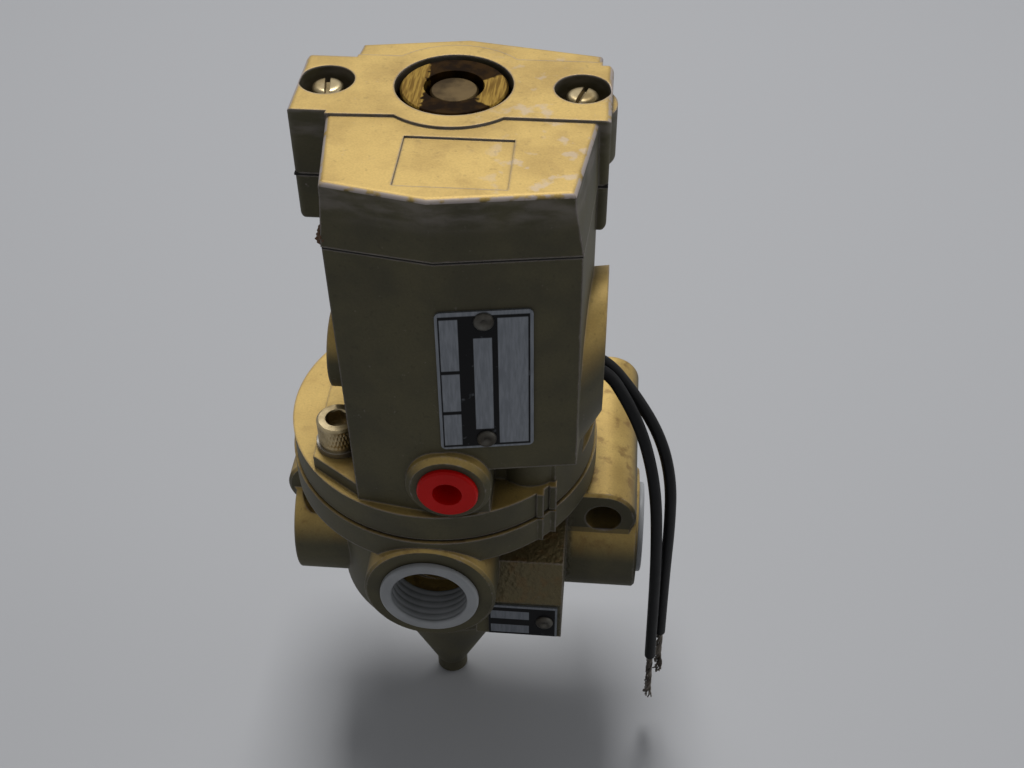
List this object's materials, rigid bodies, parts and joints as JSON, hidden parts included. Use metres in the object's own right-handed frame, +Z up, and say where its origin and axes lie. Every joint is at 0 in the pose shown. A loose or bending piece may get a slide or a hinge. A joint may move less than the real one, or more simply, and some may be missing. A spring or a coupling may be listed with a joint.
{
  "type": "pneumatic directional control valve",
  "caption": "Solenoid-piloted inline poppet valve: a gold-chromated body with tapped ports and mounting lugs, and a pilot housing with a push-to-override button on top.",
  "frame": {"origin": "half way between the two mounting holes, on the plane of the lugs' back faces", "axes": "+Z up along the valve axis towards the override button, -Y to the front (data plate, plug, front port), +X to the side with the conduit entry and its leads"},
  "size_m": [0.0967, 0.0784, 0.1825],
  "materials": {
    "chromate_casting": "satin",
    "bare_metal": "satin",
    "plated_steel": "satin",
    "brass": "satin",
    "stainless": "satin",
    "gasket": "matte",
    "seal_rubber": "matte",
    "winding": "matte",
    "guard_plastic": "matte",
    "red_plastic": "matte",
    "plate_foil": "satin",
    "rivet_metal": "satin",
    "lead_insulation": "matte",
    "tinned_copper": "satin"
  },
  "bodies": {
    "valve": {"valve_body": "chromate_casting", "pilot_housing": "chromate_casting", "top_cover": "chromate_casting", "cover_gasket": "gasket", "body_gasket": "gasket", "cover_screws": "plated_steel", "flange_bolts": "plated_steel", "lock_washers": "bare_metal", "seat_cage": "brass", "pole_piece": "stainless", "guide_tube": "stainless", "solenoid_coil": "winding", "coil_frame": "bare_metal", "pilot_seat": "brass", "solenoid_cap": "plated_steel", "front_port_guard": "guard_plastic", "right_port_guard": "guard_plastic", "pilot_port_plug": "red_plastic", "data_plate": "plate_foil", "data_plate_rivets": "rivet_metal", "body_plate": "plate_foil", "body_plate_rivet": "rivet_metal", "return_spring": "stainless", "plunger_spring": "stainless", "inner_lead": "lead_insulation", "outer_lead": "lead_insulation", "inner_lead_strands": "tinned_copper", "outer_lead_strands": "tinned_copper"},
    "piston_set": {"piston": "bare_metal", "piston_seal": "seal_rubber", "valve_stem": "stainless", "stem_nut": "bare_metal", "exhaust_poppet": "seal_rubber", "inlet_poppet": "seal_rubber"},
    "armature": {"plunger": "stainless", "push_pin": "stainless", "pilot_poppet": "seal_rubber"},
    "button": {"override_button": "plated_steel"}
  },
  "joints": [
    {"name": "valve_stroke", "type": "slide", "parent": "valve", "child": "piston_set", "axis": [0, 0, -1], "range_m": [0, 0.0045], "stiffness_N_per_m": 2500, "springref_m": -0.006, "deforming": ["return_spring"]},
    {"name": "armature_slide", "type": "slide", "parent": "valve", "child": "armature", "axis": [0, 0, -1], "range_m": [0, 0.0022], "stiffness_N_per_m": 900, "springref_m": -0.004, "deforming": ["plunger_spring"]},
    {"name": "button_press", "type": "slide", "parent": "valve", "child": "button", "axis": [0, 0, -1], "range_m": [0, 0.0022]}
  ],
  "couplings": [
    {"joint": "button_press", "follows": "armature_slide", "ratio": 1}
  ]
}
